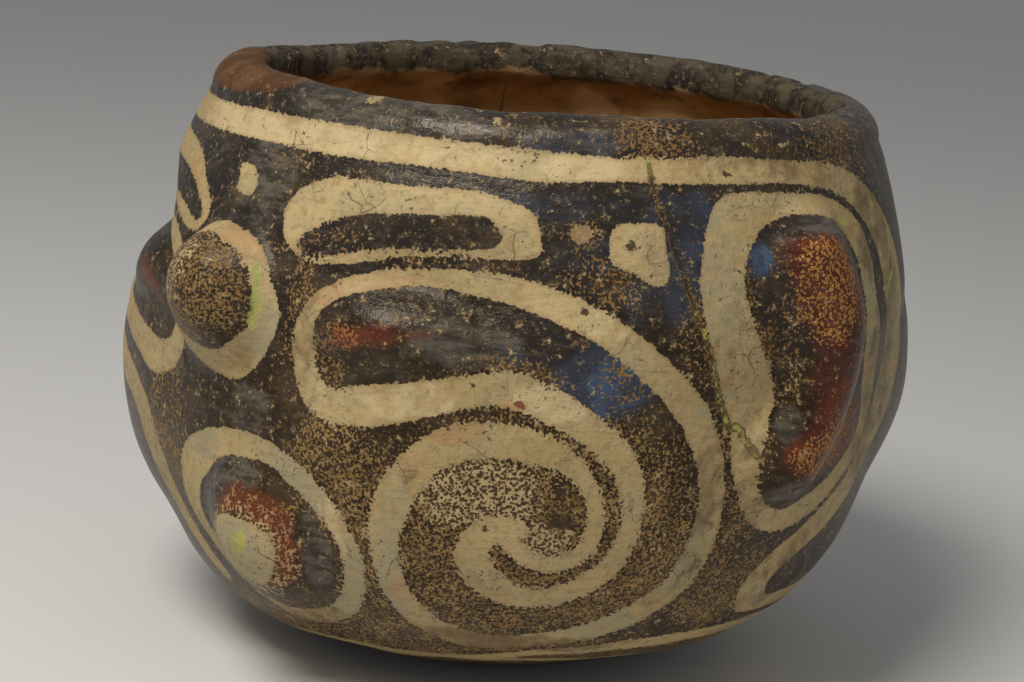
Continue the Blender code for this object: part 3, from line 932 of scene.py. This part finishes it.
# Smoky patches with a painted sheen: the spots on the lip, and the lighter streaks the finish gives
# these patches, stand for the soft highlight of the burnished slip.
smoke = spots(
    (-7, 119, 21, 9, 0.9), (-41, 145, 10, 8, 0.7), (-38, 90, 13, 11, 0.7), (-40, 70, 13, 8, 1.0),
    (39.5, 98, 5, 8, 1.0), (45, 153, 17, 5, 0.9), (41, 79, 8, 5, 0.8), (44.5, 112, 4, 15, 0.6),
    (5, 175, 20, 6, 0.9), (-26, 177, 44, 7, 0.95), (-18, 106, 12, 6, 0.5), (-44, 156, 15, 15, 0.95),
    (-16, 162, 40, 4, 0.5), (35, 174, 20, 5, 0.4), (-26.5, 53, 6, 20, 0.95),
)
print("smoky points:", int((smoke > 0.3).sum()))

# %% [markdown]
# ## Keep the paint on the skin
# The attributes are written on the points of the mesh. `POINT` attributes are blended across each
# face, which is why a distance makes a clean edge even though the points are over a millimetre
# apart, and a plain yes-or-no mask would not.

# %% Write the attributes
LAYERS = {
    "cream": np.maximum(cream, chips), "flaked": flaked, "light_ground": light_ground, "red": red,
    "fresh_red": fresh_red, "blue": blue, "crack": crack, "stain": stain, "marks": marks,
    "pale": pale, "chill": chill, "warm": warm, "dirt": dirt, "smoke": smoke,
    "brown_fill": brown_fill, "inner_side": np.where(is_outer, 0.0, 1.0), "inner_crack": inner_crack,
}
for name, values in LAYERS.items():
    layer = skin.attributes.new(name, "FLOAT", "POINT")
    layer.data.foreach_set("value", values.astype(np.float32))
print("attributes:", len(LAYERS))

# %% [markdown]
# Hairline cracks need flat places rather than solid ones, so the skin also gets a UV map: one
# direction goes round the wall and the other up it. The faces across the back seam would run all
# the way round again, so their corners are moved on by a whole turn.

# %% A map of the wall
METRES_PER_DEGREE = 0.002
corners = np.empty(len(skin.loops), int)
skin.loops.foreach_get("vertex_index", corners)
starts = np.empty(len(skin.polygons), int)
skin.polygons.foreach_get("loop_start", starts)
sizes = np.diff(np.append(starts, len(corners)))
round_the_jar = azimuth[corners]
highest = np.repeat(np.maximum.reduceat(round_the_jar, starts), sizes)
round_the_jar = round_the_jar + 360.0 * (highest - round_the_jar > 180.0)
wall_map = skin.uv_layers.new(name="wall")
places = np.stack((round_the_jar * METRES_PER_DEGREE, up_the_wall[corners] / 1000), 1)
wall_map.data.foreach_set("uv", places.ravel())

jar = bpy.data.objects.new("painted_jar", skin)
bpy.context.scene.collection.objects.link(jar)
print("jar:", sum(len(face.vertices) - 2 for face in skin.polygons), "triangles")

# %% [markdown]
# ## The painted finish
# The finish is built in layers, as on the jar: bare brown clay, a dark slip burnished to a soft
# gloss, cream slip over it, then red and blue. Small helpers keep the node tree readable. Every
# layer is a colour and a mask, and the masks are the attributes with a little noise added. The
# helper `level` makes such a mask, and `over` and `coats` lay colours with one.

# %% Node helpers
class Nodes:
    """Short ways to add shader nodes, each giving back its output."""

    def __init__(self, material):
        self.tree = material.node_tree
        self.place = self.add("ShaderNodeTexCoord").outputs["Object"]

    def add(self, kind, **inputs):
        node = self.tree.nodes.new(kind)
        for name, value in inputs.items():
            self.join(value, node.inputs[name.replace("_", " ")])
        return node

    def join(self, value, socket):
        if isinstance(value, bpy.types.NodeSocket):
            self.tree.links.new(value, socket)
        else:
            socket.default_value = value

    def attribute(self, name):
        node = self.add("ShaderNodeAttribute")
        node.attribute_name = name
        return node.outputs["Fac"]

    def math(self, operation, *values):
        node = self.add("ShaderNodeMath")
        node.operation = operation
        for value, socket in zip(values, node.inputs):
            self.join(value, socket)
        return node.outputs[0]

    def plus(self, *values):
        total = values[0]
        for value in values[1:]:
            total = self.math("ADD", total, value)
        return total

    def times(self, first, second):
        return self.math("MULTIPLY", first, second)

    def noise(self, scale, detail=3.0, roughness=0.5, place=None):
        return self.add(
            "ShaderNodeTexNoise", Vector=place or self.place, Scale=scale, Detail=detail,
            Roughness=roughness,
        ).outputs[0]

    def cells(self, scale, feature="F1", place=None):
        node = self.add("ShaderNodeTexVoronoi", Vector=place or self.place, Scale=scale)
        node.feature = feature
        return node.outputs["Distance"]

    def step(self, value, low, high):
        """Nothing at low, one at high, and smooth between them."""
        node = self.add("ShaderNodeMapRange", Value=value, From_Min=low, From_Max=high)
        node.interpolation_type = "SMOOTHSTEP"
        return node.outputs[0]

    def between(self, share, first, second):
        """The first value where the share is 0, and the second where it is 1."""
        return self.add("ShaderNodeMapRange", Value=share, To_Min=first, To_Max=second).outputs[0]

    def spread(self, share, reach):
        """A noise turned into a number from minus reach to plus reach."""
        return self.between(share, -reach, reach)

    def level(self, name, noise, reach, low, high):
        """A step in an attribute or other value whose edge a noise has made uneven."""
        value = self.attribute(name) if isinstance(name, str) else name
        return self.step(self.plus(value, self.spread(noise, reach)), low, high)

    def over(self, under, where, strength, tone):
        """A tone laid over what is under it where the mask is one, as strongly as it says."""
        return self.mix(self.times(where, strength), under, tone)

    def coats(self, under, *rows):
        """Coats over a colour: a value, where it starts and where it is full, strength and tone."""
        for value, low, high, strength, tone in rows:
            under = self.over(under, self.step(value, low, high), strength, tone)
        return under

    def mix(self, share, first, second):
        node = self.add("ShaderNodeMix")
        node.data_type = "RGBA"
        for name, value in (("Factor", share), ("A", first), ("B", second)):
            self.join(value, next(s for s in node.inputs if s.name == name and s.enabled))
        return next(s for s in node.outputs if s.enabled)


def rgb(red_share, green_share, blue_share):
    """A colour as a shader takes it, with nothing see-through."""
    return (red_share, green_share, blue_share, 1.0)


print("helpers:", [name for name in vars(Nodes) if not name.startswith("_")])

# %% Start the finish
finish = bpy.data.materials.new("painted_clay")
finish.use_nodes = True
nodes = Nodes(finish)
shader = finish.node_tree.nodes["Principled BSDF"]
print("started the finish", finish.name)

# %% [markdown]
# ## Noises at the jar's own scales
# Object coordinates are in metres, so a noise of scale 1000 has details of about a millimetre,
# the size of one fleck. The burnishing strokes run round the jar, so one noise is squeezed
# upwards with a Mapping node.

# %% Noises
broad = nodes.noise(24.0)
cloud = nodes.noise(64.0, roughness=0.65)
blotch = nodes.noise(130.0, roughness=0.7)
fine = nodes.noise(420.0, roughness=0.6)
worn = nodes.noise(1120.0, detail=1.0)
grain = nodes.noise(1900.0, detail=1.0)
burnished = nodes.add("ShaderNodeMapping", Vector=nodes.place, Scale=(1.0, 1.0, 4.0)).outputs[0]
streak = nodes.noise(130.0, roughness=0.65, place=burnished)
height_on_jar = nodes.add("ShaderNodeSeparateXYZ", Vector=nodes.place).outputs["Z"]
print("noises:", len(finish.node_tree.nodes), "nodes")

# %% [markdown]
# ## Dark ground
# The dark slip is nearly black near the rim and browner below, with burnishing streaks, scuffs and
# the smoky patches of the firing, which carry a painted sheen. The greyer tone near the rim is a
# painted reflection of the light above, and the browner tone below is a painted reflection of a brown
# surface under the jar. Colours named ABOVE and BELOW are for the upper and the lower wall, and
# one mask, `low_part`, goes from the one to the other.

# %% Dark slip
# Painted reflection: the upper wall's colours are greyer, as if reflecting the light above, and the
# lower wall's are browner, as if reflecting a brown surface under the jar.
SLIP_REFLECTING_ABOVE, SLIP_REFLECTING_BELOW = rgb(0.021, 0.017, 0.014), rgb(0.019, 0.010, 0.004)
WORN_SLIP = rgb(0.052, 0.034, 0.017)
SCUFF_REFLECTING_ABOVE, SCUFF_REFLECTING_BELOW = rgb(0.074, 0.063, 0.050), rgb(0.080, 0.056, 0.030)
MOTTLE_REFLECTING_ABOVE, MOTTLE_REFLECTING_BELOW = rgb(0.082, 0.068, 0.052), rgb(0.100, 0.064, 0.030)
SOOT, SHEEN = rgb(0.043, 0.037, 0.030), rgb(0.122, 0.106, 0.083)

low_part = nodes.level(height_on_jar, broad, 0.03, 0.150, 0.095)
ground = nodes.coats(
    nodes.mix(low_part, SLIP_REFLECTING_ABOVE, SLIP_REFLECTING_BELOW),
    (cloud, 0.45, 0.70, 1.0, WORN_SLIP),
    (streak, 0.50, 0.72, 0.55, nodes.mix(low_part, SCUFF_REFLECTING_ABOVE, SCUFF_REFLECTING_BELOW)),
    (fine, 0.50, 0.68, 0.48, nodes.mix(low_part, MOTTLE_REFLECTING_ABOVE, MOTTLE_REFLECTING_BELOW)),
)
# Painted sheen: the lighter SHEEN colour is a highlight painted onto the smoky patches.
smoke_here = nodes.level("smoke", blotch, 0.9, 0.30, 1.05)
smoke_colour = nodes.mix(nodes.step(streak, 0.38, 0.62), SOOT, SHEEN)
ground = nodes.over(ground, smoke_here, 0.85, smoke_colour)
print("dark slip:", len(finish.node_tree.nodes), "nodes")

# %% [markdown]
# ## Flecks
# A noise cut at a level makes short curled islands, as the flaked slip has. The level follows the
# flaked attribute, so the same noise gives a few lone flecks or a close net. On the light ground
# the slip has gone nearly everywhere, and only dark dots are left: there, the cells of a Voronoi
# texture are used instead.

# %% Flecks
FLECK_ABOVE = rgb(0.225, 0.116, 0.035)
FLECK_BROWN, FLECK_TAN = rgb(0.185, 0.108, 0.030), rgb(0.335, 0.200, 0.066)
DIRTY_FLECK = rgb(0.110, 0.066, 0.027)
LIGHT_DULL, LIGHT_CLEAN = rgb(0.34, 0.232, 0.105), rgb(0.53, 0.405, 0.215)
DOT_BROWN = rgb(0.070, 0.040, 0.017)

flaked_here = nodes.plus(nodes.attribute("flaked"), nodes.spread(cloud, 0.60))
cut = nodes.between(flaked_here, 0.700, 0.480)
fleck = nodes.step(nodes.math("SUBTRACT", worn, cut), -0.012, 0.030)
left_over = nodes.plus(nodes.cells(1080.0), nodes.spread(worn, 0.40))
light_here = nodes.level("light_ground", fine, 2.0, 0.12, 0.95)
fleck = nodes.between(light_here, fleck, nodes.step(left_over, 0.42, 0.62))
fleck_colour = nodes.mix(nodes.step(blotch, 0.40, 0.62), FLECK_BROWN, FLECK_TAN)
fleck_colour = nodes.mix(low_part, FLECK_ABOVE, fleck_colour)
fleck_colour = nodes.mix(nodes.step(grain, 0.55, 0.35), fleck_colour, DIRTY_FLECK)
light_colour = nodes.mix(grain, LIGHT_DULL, LIGHT_CLEAN)
fleck_colour = nodes.mix(light_here, fleck_colour, light_colour)
ground = nodes.over(ground, light_here, 0.65, DOT_BROWN)
print("flecks:", len(finish.node_tree.nodes), "nodes")

# %% [markdown]
# ## Blue and red slip
# Both lie on the dark ground and under the flecks, because they have flaked with it. The flecks
# are golden on the red, and orange where the red is fresh.

# %% Blue and red slip
BLUE_GREY, BLUE = rgb(0.034, 0.043, 0.068), rgb(0.046, 0.086, 0.150)
RED_DARK, RED_BRIGHT = rgb(0.056, 0.014, 0.009), rgb(0.120, 0.024, 0.010)
RED_SCUFF, RED_FRESH = rgb(0.085, 0.050, 0.040), rgb(0.112, 0.032, 0.014)
GOLD_DULL, GOLD_CLEAN = rgb(0.19, 0.070, 0.015), rgb(0.47, 0.232, 0.058)
ORANGE_DULL, ORANGE_CLEAN = rgb(0.22, 0.055, 0.018), rgb(0.44, 0.165, 0.060)

# The blue attribute also holds a painted sheen on the lip and just under the rim band.
blue_slip_and_sheen = nodes.attribute("blue")
vivid = nodes.times(nodes.step(blue_slip_and_sheen, 0.70, 0.98), nodes.step(blotch, 0.43, 0.60))
blue_here = nodes.level(blue_slip_and_sheen, cloud, 1.0, 0.25, 1.1)
ground = nodes.over(ground, blue_here, 0.88, nodes.mix(vivid, BLUE_GREY, BLUE))

red_here = nodes.times(nodes.level("red", blotch, 3.6, -1.6, 2.2), 0.94)
fresh_here = nodes.level("fresh_red", blotch, 0.7, 0.35, 0.95)
red_colour = nodes.mix(nodes.step(cloud, 0.38, 0.62), RED_DARK, RED_BRIGHT)
red_colour = nodes.coats(red_colour, (streak, 0.50, 0.70, 0.6, RED_SCUFF))
red_colour = nodes.mix(fresh_here, red_colour, RED_FRESH)
ground = nodes.mix(red_here, ground, red_colour)

gold = nodes.mix(nodes.step(grain, 0.36, 0.64), GOLD_DULL, GOLD_CLEAN)
gold = nodes.mix(fresh_here, gold, nodes.mix(grain, ORANGE_DULL, ORANGE_CLEAN))
golden_here = nodes.times(red_here, nodes.between(light_here, 1.0, 0.4))
fleck_colour = nodes.mix(golden_here, fleck_colour, gold)
ground = nodes.mix(fleck, ground, fleck_colour)
print("coloured slips:", len(finish.node_tree.nodes), "nodes")

# %% [markdown]
# ## Cream slip
# The edge of a stroke is bitten into by the same flaking as the ground, so the fleck noise is
# added to its depth. The tones come from the attributes, with a noise that breaks up their edges.

# %% Cream slip
CREAM_DULL, CREAM = rgb(0.400, 0.290, 0.132), rgb(0.475, 0.355, 0.170)
# The pale tone also carries the painted light and highlight on the rim band and beside the mouth.
TONES = {
    "chill": (1.1, 0.30, 0.75, 0.80, rgb(0.350, 0.300, 0.175)),
    "warm": (1.2, 0.35, 0.80, 0.72, rgb(0.400, 0.240, 0.105)),
    "pale": (1.3, 0.35, 1.00, 0.85, rgb(0.570, 0.440, 0.240)),
    "dirt": (1.0, 0.15, 1.00, 0.90, rgb(0.170, 0.112, 0.048)),
}

bitten = nodes.times(nodes.spread(worn, 2.3), nodes.between(nodes.attribute("flaked"), 0.30, 1.0))
cream_depth = nodes.plus(nodes.attribute("cream"), bitten, nodes.spread(fine, 0.9))
cream_here = nodes.step(cream_depth, -0.12, 0.18)
cream_colour = nodes.coats(
    nodes.mix(nodes.step(broad, 0.40, 0.60), CREAM_DULL, CREAM),
    (cloud, 0.48, 0.56, 0.60, rgb(0.395, 0.320, 0.175)),
    (blotch, 0.54, 0.68, 0.50, rgb(0.310, 0.215, 0.105)),
    (blotch, 0.46, 0.34, 0.45, rgb(0.470, 0.315, 0.165)),
    (fine, 0.52, 0.64, 0.46, rgb(0.250, 0.175, 0.082)),
)
for name, (reach, low, high, strength, tone) in TONES.items():
    tone_here = nodes.level(name, blotch, reach, low, high)
    cream_colour = nodes.over(cream_colour, tone_here, strength, tone)
cream_colour = nodes.coats(
    cream_colour,
    (streak, 0.52, 0.68, 0.36, rgb(0.270, 0.195, 0.100)),
    (cream_depth, 1.5, -0.2, 0.40, rgb(0.245, 0.160, 0.072)),
)
print("cream slip:", len(finish.node_tree.nodes), "nodes")

# %% [markdown]
# ## Hairlines and pits
# Slip that shrinks more than the clay under it cracks into hairlines. They are the edges between
# Voronoi cells on the flat map of the wall, bent by a noise. Only some of them show, where
# another noise is high. Small pits are the top of a third noise. The small marks are laid here
# too, dark, or rusty where the red slip attribute covers them.

# %% Hairlines and pits in the cream
HAIRLINE, PIT = rgb(0.115, 0.075, 0.040), rgb(0.070, 0.046, 0.026)
DARK_MARK, RUSTY_MARK = rgb(0.045, 0.026, 0.016), rgb(0.170, 0.035, 0.018)
BEND_SHARE = 0.005

wall_place = nodes.add("ShaderNodeUVMap").outputs["UV"]
wobble = nodes.add("ShaderNodeTexNoise", Vector=nodes.place, Scale=90.0, Detail=2.0)
bent_place = nodes.add("ShaderNodeMix")
bent_place.data_type = "VECTOR"
nodes.join(BEND_SHARE, bent_place.inputs["Factor"])
nodes.join(wall_place, bent_place.inputs[4])
nodes.join(wobble.outputs["Color"], bent_place.inputs[5])
crazing = nodes.cells(62.0, "DISTANCE_TO_EDGE", place=bent_place.outputs[1])
hairline = nodes.times(nodes.step(crazing, 0.014, 0.003), nodes.step(cloud, 0.50, 0.60))
cream_colour = nodes.over(cream_colour, hairline, 0.65, HAIRLINE)
pit = nodes.times(nodes.step(nodes.noise(800.0, 1.0), 0.655, 0.700), nodes.step(cloud, 0.47, 0.60))
cream_colour = nodes.over(cream_colour, pit, 0.80, PIT)
mark_colour = nodes.mix(nodes.step(nodes.attribute("red"), -1.0, 0.0), DARK_MARK, RUSTY_MARK)
marks_here = nodes.level("marks", fine, 1.8, -0.35, 0.10)
cream_colour = nodes.over(cream_colour, marks_here, 0.90, mark_colour)
colour = nodes.mix(cream_here, ground, cream_colour)
print("hairlines and pits:", len(finish.node_tree.nodes), "nodes")

# %% [markdown]
# ## Stains, the mended crack and the brown fill
# These lie over everything else on the outside, so they are mixed in last.

# %% Stains, crack and fill
STAIN_GREEN, STAIN_YELLOW = rgb(0.30, 0.34, 0.095), rgb(0.48, 0.44, 0.085)
EDGE_BROWN, EDGE_OCHRE = rgb(0.050, 0.031, 0.013), rgb(0.240, 0.160, 0.050)
CRACK_DARK, CRACK_YELLOW = rgb(0.022, 0.014, 0.007), rgb(0.44, 0.42, 0.100)
FILL_DARK, FILL_BROWN = rgb(0.075, 0.033, 0.013), rgb(0.145, 0.070, 0.028)
FILL_PALE = rgb(0.34, 0.215, 0.100)

stain_colour = nodes.mix(nodes.step(blotch, 0.42, 0.60), STAIN_GREEN, STAIN_YELLOW)
colour = nodes.over(colour, nodes.level("stain", fine, 1.4, -0.5, 0.6), 0.76, stain_colour)
crack_depth = nodes.plus(nodes.attribute("crack"), nodes.spread(fine, 1.2))
crack_here = nodes.step(crack_depth, -0.35, 0.15)
crack_edge = nodes.times(nodes.step(crack_depth, -1.1, -0.6), nodes.step(blotch, 0.36, 0.50))
edge_colour = nodes.mix(nodes.step(grain, 0.48, 0.60), EDGE_BROWN, EDGE_OCHRE)
colour = nodes.over(colour, crack_edge, 0.80, edge_colour)
yellow_part = nodes.level(height_on_jar, blotch, 0.06, 0.128, 0.112)
colour = nodes.over(colour, crack_here, 0.85, nodes.mix(yellow_part, CRACK_DARK, CRACK_YELLOW))
fill_here = nodes.level("brown_fill", blotch, 0.7, 0.34, 0.44)
fill_colour = nodes.mix(nodes.step(cloud, 0.38, 0.66), FILL_DARK, FILL_BROWN)
fill_colour = nodes.coats(fill_colour, (fine, 0.60, 0.72, 0.6, FILL_PALE))
colour = nodes.mix(fill_here, colour, fill_colour)
print("stains, crack and fill:", len(finish.node_tree.nodes), "nodes")

# %% [markdown]
# ## Inside
# The inside is bare brown clay with ochre patches and a few dark runs. The dark slip only reaches
# a little way down from the lip, in an uneven line, and is scuffed to olive grey there. Just under
# the thick lip the clay is darkened as a painted shadow of the lip's overhang.

# %% Bare clay inside
CLAY_BROWN, CLAY_OCHRE = rgb(0.43, 0.235, 0.085), rgb(0.74, 0.50, 0.255)
OLIVE_SCUFF = rgb(0.112, 0.088, 0.054)

inside = nodes.step(nodes.attribute("inner_side"), 0.4, 0.6)
scuffed = nodes.times(inside, nodes.step(blotch, 0.42, 0.60))
lip_scuff = nodes.times(scuffed, nodes.between(fill_here, 0.65, 0.0))
colour = nodes.mix(lip_scuff, colour, OLIVE_SCUFF)
clay_colour = nodes.coats(
    nodes.mix(nodes.step(broad, 0.42, 0.58), CLAY_BROWN, CLAY_OCHRE),
    (cloud, 0.50, 0.68, 0.6, rgb(0.19, 0.090, 0.032)),
)
far_down = nodes.level(height_on_jar, broad, 0.04, 0.120, 0.060)
clay_colour = nodes.over(clay_colour, far_down, 0.72, rgb(0.215, 0.112, 0.044))
# Painted shadow: the clay just under the slip's edge is darkened where the thick lip overhangs it.
under_lip = nodes.level(height_on_jar, cloud, 0.008, 0.162, 0.171)
clay_colour = nodes.over(clay_colour, under_lip, 0.55, rgb(0.055, 0.026, 0.010))
crack_inside = nodes.level("inner_crack", blotch, 0.4, 0.60, 0.85)
clay_colour = nodes.over(clay_colour, crack_inside, 0.65, rgb(0.020, 0.011, 0.005))
below_slip = nodes.level(height_on_jar, cloud, 0.006, 0.1718, 0.1700)
colour = nodes.mix(nodes.times(inside, below_slip), colour, clay_colour)
print("inside:", len(finish.node_tree.nodes), "nodes")

# %% [markdown]
# ## Gloss and relief
# The burnished dark slip is glossier than the cream, and the fill and the inside are dull. The
# relief is tiny: cream slip lies a hair above the ground, and flecks, pits and the mended crack lie
# below it. The noises add the unevenness of the burnished clay.

# %% Gloss and relief
SLIP_ROUGHNESS, CREAM_ROUGHNESS, DULL_ROUGHNESS = 0.31, 0.54, 0.70
RELIEF_DEPTH = 0.0004

flaked_or_cream = nodes.math("MAXIMUM", fleck, cream_here)
gloss = nodes.plus(
    nodes.between(flaked_or_cream, SLIP_ROUGHNESS, CREAM_ROUGHNESS),
    nodes.between(fine, -0.10, 0.14), nodes.times(smoke_here, -0.09),
)
dull = nodes.times(nodes.math("MAXIMUM", fill_here, inside), DULL_ROUGHNESS)
roughness = nodes.math("MAXIMUM", gloss, dull)
relief = nodes.plus(
    nodes.times(fine, 1.2), nodes.times(grain, 0.30), nodes.times(streak, 0.8),
    nodes.times(blotch, 1.2), nodes.times(cream_here, 0.35), nodes.times(fleck, -0.30),
    nodes.times(nodes.math("MAXIMUM", pit, crack_here), -0.7),
)
bump = nodes.add("ShaderNodeBump", Strength=0.6, Distance=RELIEF_DEPTH, Height=relief)
nodes.join(colour, shader.inputs["Base Color"])
nodes.join(roughness, shader.inputs["Roughness"])
nodes.join(bump.outputs["Normal"], shader.inputs["Normal"])
nodes.join(0.26, shader.inputs["Specular IOR Level"])
nodes.join(rgb(1.0, 0.90, 0.76), shader.inputs["Specular Tint"])
skin.materials.append(finish)
print("finish:", len(finish.node_tree.nodes), "nodes")

# %% [markdown]
# ## Studio
# A broad lamp above and to the left gives the rim band and the bosses their soft highlights. A
# weaker one fills from the right, and a plain pale floor and background throw light back up.

# %% Floor
FLOOR_REACH = 4.0


def add_floor():
    """A large plain floor under the jar."""
    made = bmesh.new()
    bmesh.ops.create_grid(made, x_segments=1, y_segments=1, size=FLOOR_REACH)
    mesh = bpy.data.meshes.new("floor")
    made.to_mesh(mesh)
    made.free()
    pale_floor = bpy.data.materials.new("pale_floor")
    pale_floor.use_nodes = True
    base = pale_floor.node_tree.nodes["Principled BSDF"]
    base.inputs["Base Color"].default_value = rgb(0.72, 0.71, 0.69)
    base.inputs["Roughness"].default_value = 0.9
    mesh.materials.append(pale_floor)
    floor = bpy.data.objects.new("floor", mesh)
    bpy.context.scene.collection.objects.link(floor)
    return floor


print("floor:", [round(size, 1) for size in add_floor().dimensions], "m")

# %% [markdown]
# An area lamp gives soft shadows when it is large for its distance. Each lamp is turned to the jar
# with `to_track_quat`, which is easier to keep right than angles typed by hand.

# %% Lamps and background
def add_lamp(name, place, size, power, tint):
    """A square area lamp that points at the jar."""
    lamp = bpy.data.lights.new(name, "AREA")
    lamp.size, lamp.energy, lamp.color = size, power, tint
    holder = bpy.data.objects.new(name, lamp)
    holder.location = place
    holder.rotation_euler = (LOOK_AT - Vector(place)).to_track_quat("-Z", "Y").to_euler()
    bpy.context.scene.collection.objects.link(holder)


add_lamp("key", (-0.38, -0.60, 1.03), 0.46, 11.5, (1.0, 0.97, 0.92))
add_lamp("fill", (0.95, -0.80, 0.45), 0.9, 0.5, (0.94, 0.97, 1.0))
world = bpy.data.worlds.new("studio")
world.use_nodes = True
world.node_tree.nodes["Background"].inputs["Color"].default_value = rgb(0.86, 0.87, 0.88)
world.node_tree.nodes["Background"].inputs["Strength"].default_value = 0.27
bpy.context.scene.world = world
bpy.context.scene.view_settings.view_transform = "Standard"
print("studio is ready")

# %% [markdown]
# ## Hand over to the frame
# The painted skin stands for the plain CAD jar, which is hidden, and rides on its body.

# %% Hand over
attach(jar, "root")
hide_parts("painted_vase")
